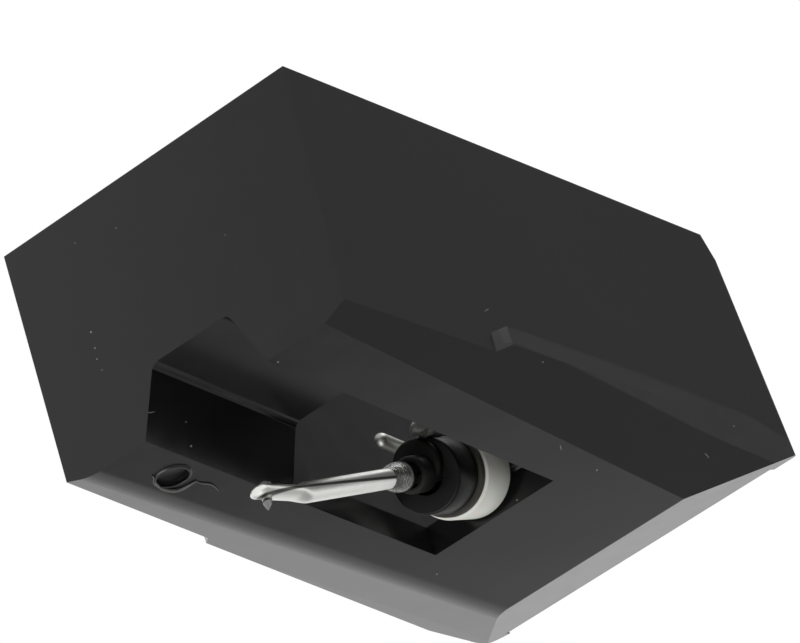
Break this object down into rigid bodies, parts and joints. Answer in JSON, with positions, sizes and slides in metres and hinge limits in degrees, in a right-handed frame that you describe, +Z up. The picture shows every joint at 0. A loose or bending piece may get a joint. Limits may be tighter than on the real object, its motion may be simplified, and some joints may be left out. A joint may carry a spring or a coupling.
{
  "type": "turntable stylus",
  "caption": "Replacement stylus for a moving magnet cartridge: black moulded holder with finger ribs, sloping cantilever with a diamond tip, and a plug tube.",
  "frame": {"origin": "on the axis of the plug tube, where the tube leaves the rear face of its boss inside the holder", "axes": "+Z up in use with the diamond pointing down, +Y from the front face to the rear, +X across to the right seen from above with the rear at the top"},
  "size_m": [0.0122, 0.0218, 0.0115],
  "materials": {
    "black_abs": "moulded, semi-gloss",
    "white_nylon": "turned, satin",
    "black_nylon": "turned, glossy",
    "black_rubber": "moulded, oily sheen",
    "brown_rubber": "cut, matt",
    "clear_cement": "cured, glossy",
    "steel": "drawn, tumbled",
    "aluminium": "drawn tube, bright",
    "brass": "turned",
    "diamond": "ground and polished",
    "magnet_alloy": "sintered and ground"
  },
  "bodies": {
    "holder": {"holder": "black_abs", "collar": "white_nylon", "rear_damper": "brown_rubber", "damper_sleeve": "black_nylon", "sleeve_cement": "clear_cement", "guide_pin": "steel", "plug_tube": "steel", "tube_stopper": "brass", "tie_wire": "steel"},
    "damper": {"front_damper": "black_rubber"},
    "cantilever": {"cantilever": "aluminium", "root_bead": "clear_cement", "tip_shank": "steel", "diamond": "diamond", "magnet": "magnet_alloy"}
  },
  "joints": [
    {"name": "damper_sideways", "type": "hinge", "parent": "holder", "child": "damper", "pos_m": [0, -0.00528, -0.00162], "axis": [0, -0.2924, 0.9563], "range_deg": [-3, 3], "stiffness_Nm_per_rad": 0.0076},
    {"name": "cantilever_up_down", "type": "hinge", "parent": "damper", "child": "cantilever", "pos_m": [0, -0.00528, -0.00162], "axis": [1, 0, 0], "range_deg": [-3, 3], "stiffness_Nm_per_rad": 0.0076}
  ]
}
